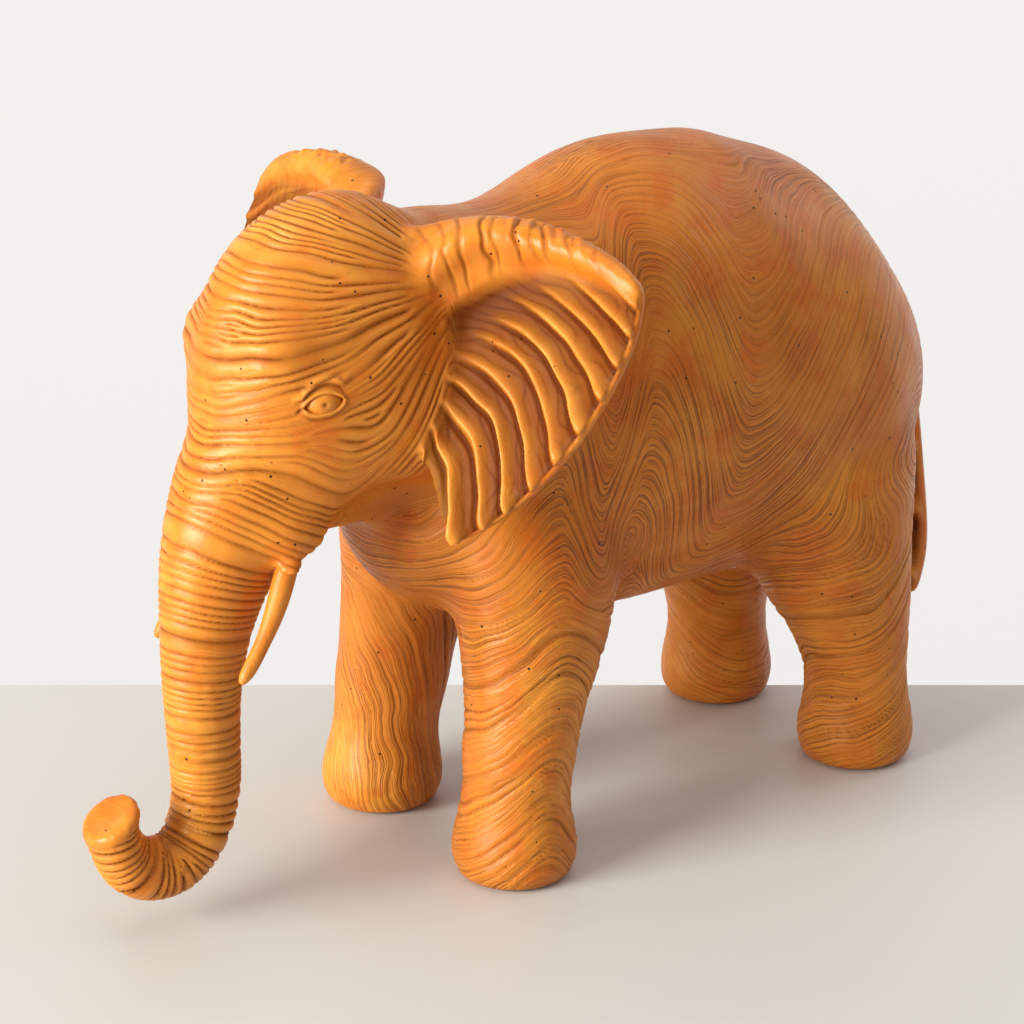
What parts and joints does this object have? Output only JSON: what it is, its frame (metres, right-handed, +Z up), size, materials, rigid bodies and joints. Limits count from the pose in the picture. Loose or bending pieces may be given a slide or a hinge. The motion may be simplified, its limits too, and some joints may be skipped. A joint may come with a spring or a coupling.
{
  "type": "carved wooden elephant",
  "caption": "Standing elephant statuette in carved, varnished wood, with spread ribbed ears, slender tusks and a ringed trunk curled forward at its tip.",
  "frame": {"origin": "middle of the bounding box, on the plane the feet stand on", "axes": "+X forward, towards the trunk; +Y to the elephant's left; +Z up"},
  "size_m": [0.3316, 0.1742, 0.21],
  "materials": {
    "carved_wood": "satin golden-brown varnish over carved grain lines, darker in the grooves",
    "smooth_wood": "smooth satin golden-brown varnish",
    "dowel_wood": "bare turned hardwood"
  },
  "bodies": {
    "root": {"torso": "carved_wood", "head": "carved_wood", "trunk": "carved_wood", "front_left_leg": "carved_wood", "front_right_leg": "carved_wood", "hind_left_leg": "carved_wood", "hind_right_leg": "carved_wood", "left_ear": "carved_wood", "right_ear": "carved_wood", "tail": "carved_wood", "left_tusk": "smooth_wood", "right_tusk": "smooth_wood", "left_eye": "smooth_wood", "right_eye": "smooth_wood", "neck_dowels": "dowel_wood", "leg_dowels": "dowel_wood", "trunk_dowel": "dowel_wood"}
  },
  "joints": []
}
